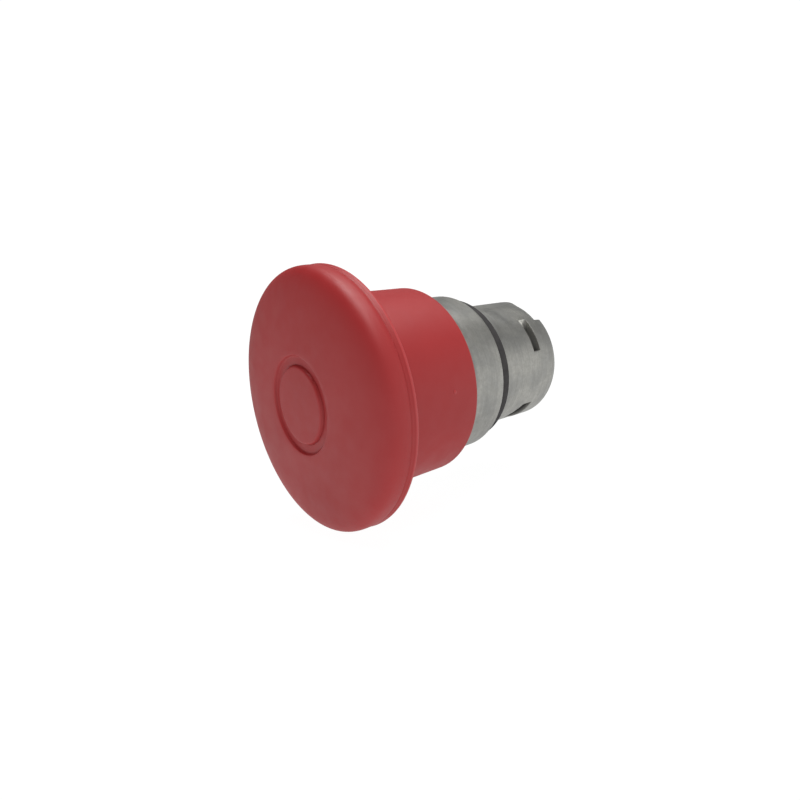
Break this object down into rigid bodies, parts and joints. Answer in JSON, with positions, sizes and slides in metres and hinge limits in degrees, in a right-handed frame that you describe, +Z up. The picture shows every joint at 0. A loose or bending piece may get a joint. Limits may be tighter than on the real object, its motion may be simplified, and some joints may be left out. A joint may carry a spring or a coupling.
{
  "type": "emergency stop button",
  "caption": "Panel-mount push-pull emergency stop head: round red mushroom and skirt, satin metal bezel and bayonet tube, black gasket, sprung rear pusher.",
  "frame": {"origin": "on the button's axis, halfway between the cap's face and the tube's rear rim with the button pulled out; the panel's seating plane is 8.4 mm behind it", "axes": "+Y runs along the button's axis from the mushroom to the tube's rear end, +Z is up, +X is to the right of someone facing the panel"},
  "size_m": [0.04, 0.0474, 0.04],
  "materials": {
    "red_plastic": "satin moulded",
    "cast_metal": "satin, tumbled die casting",
    "black_rubber": "matte",
    "white_plastic": "satin moulded",
    "black_plastic": "satin moulded",
    "steel": "zinc plated",
    "spring_steel": "drawn wire",
    "brass": "turned"
  },
  "bodies": {
    "housing": {"body_casting": "cast_metal", "panel_gasket": "black_rubber", "guide_bush": "white_plastic", "stem_lip_seal": "black_rubber", "seal_retainer": "steel", "thrust_washer": "steel", "latch_carrier": "black_plastic", "latch_wire_upper": "spring_steel", "latch_wire_lower": "spring_steel", "carrier_snap_ring": "spring_steel", "return_spring": "spring_steel", "rear_guide_plate": "black_plastic", "rear_snap_ring": "spring_steel"},
    "head": {"mushroom_cap": "red_plastic", "centre_plug": "red_plastic", "skirt": "red_plastic", "stem": "white_plastic", "stem_insert": "brass", "cap_screw": "steel", "screw_lock_washer": "spring_steel", "stem_o_ring": "black_rubber"},
    "pusher": {"rear_pusher": "white_plastic", "drive_spring": "spring_steel"}
  },
  "joints": [
    {"name": "head_push", "type": "slide", "parent": "housing", "child": "head", "axis": [0, 1, 0], "range_m": [0, 0.006], "deforming": ["latch_wire_upper", "latch_wire_lower"]},
    {"name": "pusher_slide", "type": "slide", "parent": "housing", "child": "pusher", "axis": [0, 1, 0], "range_m": [0, 0.0045], "deforming": ["return_spring", "drive_spring"]}
  ],
  "couplings": [
    {"joint": "pusher_slide", "follows": "head_push", "ratio": 0.75}
  ]
}
